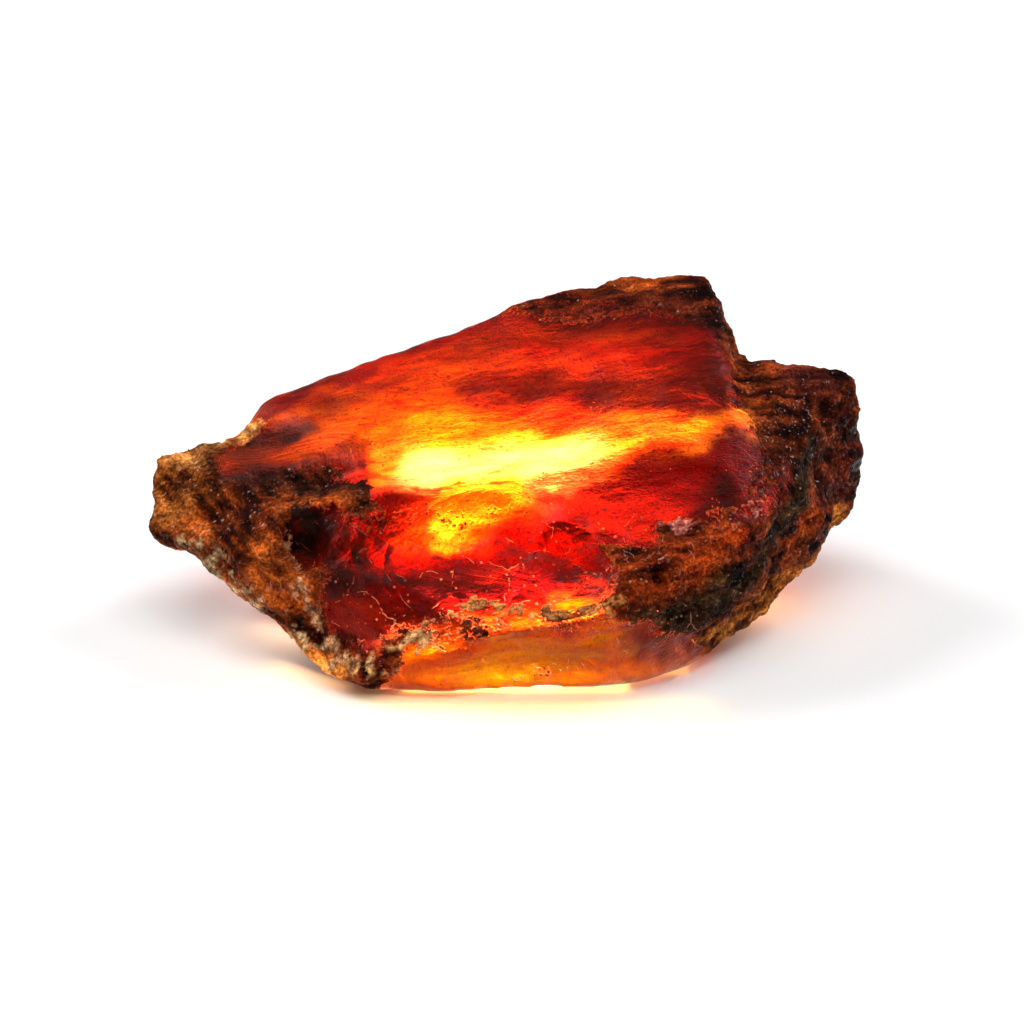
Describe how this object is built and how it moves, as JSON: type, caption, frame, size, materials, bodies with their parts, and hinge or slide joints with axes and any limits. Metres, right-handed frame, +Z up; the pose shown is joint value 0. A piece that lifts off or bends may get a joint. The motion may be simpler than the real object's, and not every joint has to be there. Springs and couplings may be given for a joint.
{
  "type": "raw amber piece",
  "caption": "Rough, unpolished lump of translucent amber with broken glassy faces and a dark, pitted rind, resting on a worn flat underside.",
  "frame": {"origin": "a point inside the worn flat underside, on the surface that the stone rests on", "axes": "+X towards the end with the dark knob, along the stone's length; +Y towards its back; +Z up"},
  "size_m": [0.0728, 0.0434, 0.0284],
  "materials": {
    "amber": "translucent orange to cherry-red resin, glassy where it is broken, with a rough brown rind"
  },
  "bodies": {
    "root": {"raw_amber": "amber"}
  },
  "joints": []
}
